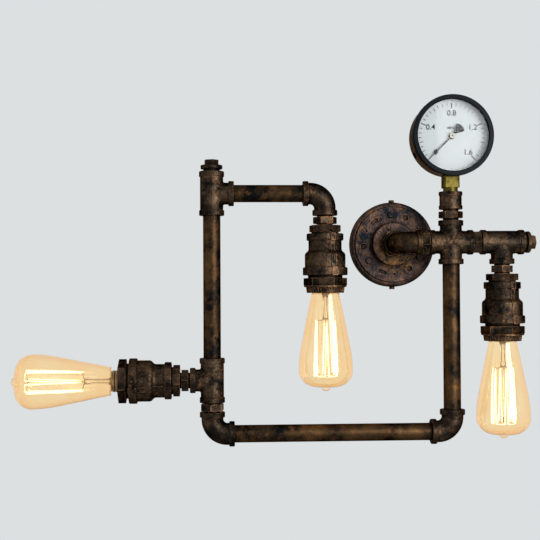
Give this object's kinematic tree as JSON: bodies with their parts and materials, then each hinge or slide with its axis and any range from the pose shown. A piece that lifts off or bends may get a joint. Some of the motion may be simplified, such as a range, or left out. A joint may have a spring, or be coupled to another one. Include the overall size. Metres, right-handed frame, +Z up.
{
  "type": "industrial pipe wall light",
  "caption": "Wall light of antique bronze screwed pipe and cast fittings with a round canopy, a dial gauge and pear-shaped filament bulbs in reducer sockets",
  "frame": {"origin": "middle of the canopy's back, on the wall", "axes": "+Y into the wall, +Z up, +X to the right seen from the front"},
  "size_m": [0.6354, 0.098, 0.4241],
  "materials": {
    "zinc_bracket": "zinc-plated steel strip",
    "porcelain": "white porcelain",
    "terminal_plastic": "off-white moulding",
    "bronze_casting": "near-black antique bronze with copper rub on edges",
    "bronze_pipe": "near-black antique bronze pipe, mottled",
    "bronze_turned": "antique bronze, copper rub on edges",
    "contact_brass": "bright brass",
    "cap_brass": "dull brass screw cap",
    "amber_glass": "clear amber glass",
    "filament": "glass stem with glowing filament strands",
    "gauge_brass": "machined brass",
    "gauge_black": "satin black paint",
    "window_glass": "clear window",
    "dial_white": "white dial with black scale",
    "pointer_black": "dark pointer",
    "lead_sheath": "black sheathed lead"
  },
  "bodies": {
    "fixture": {"wall_bracket": "zinc_bracket", "porcelain_inserts": "porcelain", "terminal_block": "terminal_plastic", "canopy_rim": "bronze_casting", "canopy_face": "bronze_casting", "wall_elbow": "bronze_casting", "cross": "bronze_casting", "right_tee": "bronze_casting", "top_left_tee": "bronze_casting", "left_tee": "bronze_casting", "middle_elbow": "bronze_casting", "lower_left_elbow": "bronze_casting", "lower_right_elbow": "bronze_casting", "pipe_plugs": "bronze_casting", "left_reducer": "bronze_casting", "middle_reducer": "bronze_casting", "right_reducer": "bronze_casting", "gauge_coupling": "bronze_casting", "right_pipe": "bronze_pipe", "bottom_pipe": "bronze_pipe", "left_pipe": "bronze_pipe", "top_pipe": "bronze_pipe", "canopy_nipple": "bronze_pipe", "hex_nipples": "bronze_turned", "lamp_bushings": "bronze_turned", "left_holder_nut": "bronze_turned", "middle_holder_nut": "bronze_turned", "right_holder_nut": "bronze_turned", "knurled_rings": "bronze_turned", "canopy_locknuts": "bronze_turned", "canopy_bolts": "bronze_turned", "canopy_side_screws": "bronze_turned", "screw_shells": "contact_brass", "centre_contacts": "contact_brass", "gauge_socket": "gauge_brass", "bourdon_tube": "gauge_brass", "movement_frame": "gauge_brass", "gauge_case": "gauge_black", "gauge_bezel": "gauge_black", "case_vent_plug": "gauge_black", "gauge_window": "window_glass", "gauge_dial": "dial_white", "left_lead": "lead_sheath", "middle_lead": "lead_sheath", "right_lead": "lead_sheath"},
    "gauge_pointer": {"gauge_pointer": "pointer_black"},
    "sector_gear": {"sector_gear": "gauge_brass"},
    "gauge_link": {"gauge_link": "gauge_brass"},
    "left_bulb_contact": {"left_bulb_contact": "contact_brass"},
    "left_bulb": {"left_bulb_cap": "cap_brass", "left_bulb_glass": "amber_glass", "left_bulb_mount": "filament"},
    "middle_bulb_contact": {"middle_bulb_contact": "contact_brass"},
    "middle_bulb": {"middle_bulb_cap": "cap_brass", "middle_bulb_glass": "amber_glass", "middle_bulb_mount": "filament"},
    "right_bulb_contact": {"right_bulb_contact": "contact_brass"},
    "right_bulb": {"right_bulb_cap": "cap_brass", "right_bulb_glass": "amber_glass", "right_bulb_mount": "filament"}
  },
  "joints": [
    {"name": "left_bulb_travel", "type": "slide", "parent": "fixture", "child": "left_bulb_contact", "axis": [-1, 0, 0], "range_m": [0, 0.01814]},
    {"name": "left_bulb_screw", "type": "hinge", "parent": "left_bulb_contact", "child": "left_bulb", "pos_m": [-0.3167, -0.065, -0.1658], "axis": [-1, 0, 0], "range_deg": [0, 1800]},
    {"name": "middle_bulb_travel", "type": "slide", "parent": "fixture", "child": "middle_bulb_contact", "axis": [0, 0, -1], "range_m": [0, 0.01814]},
    {"name": "middle_bulb_screw", "type": "hinge", "parent": "middle_bulb_contact", "child": "middle_bulb", "pos_m": [-0.0915, -0.065, -0.028], "axis": [0, 0, -1], "range_deg": [0, 1800]},
    {"name": "right_bulb_travel", "type": "slide", "parent": "fixture", "child": "right_bulb_contact", "axis": [0, 0, -1], "range_m": [0, 0.01814]},
    {"name": "right_bulb_screw", "type": "hinge", "parent": "right_bulb_contact", "child": "right_bulb", "pos_m": [0.1263, -0.065, -0.0877], "axis": [0, 0, -1], "range_deg": [0, 1800]},
    {"name": "sector_pivot", "type": "hinge", "parent": "fixture", "child": "sector_gear", "pos_m": [0.0633, -0.065, 0.10494], "axis": [0, -1, 0], "range_deg": [0, 30]},
    {"name": "pointer_pivot", "type": "hinge", "parent": "fixture", "child": "gauge_pointer", "pos_m": [0.0633, -0.065, 0.129], "axis": [0, 1, 0], "range_deg": [0, 270]},
    {"name": "link_pin", "type": "hinge", "parent": "sector_gear", "child": "gauge_link", "pos_m": [0.06149, -0.065, 0.09818], "axis": [0, -1, 0], "range_deg": [-30, 0]}
  ],
  "couplings": [
    {"joint": "left_bulb_travel", "follows": "left_bulb_screw", "m_per_rad": 0.00057741},
    {"joint": "middle_bulb_travel", "follows": "middle_bulb_screw", "m_per_rad": 0.00057741},
    {"joint": "right_bulb_travel", "follows": "right_bulb_screw", "m_per_rad": 0.00057741},
    {"joint": "pointer_pivot", "follows": "sector_pivot", "ratio": 9},
    {"joint": "link_pin", "follows": "sector_pivot", "ratio": -1}
  ]
}
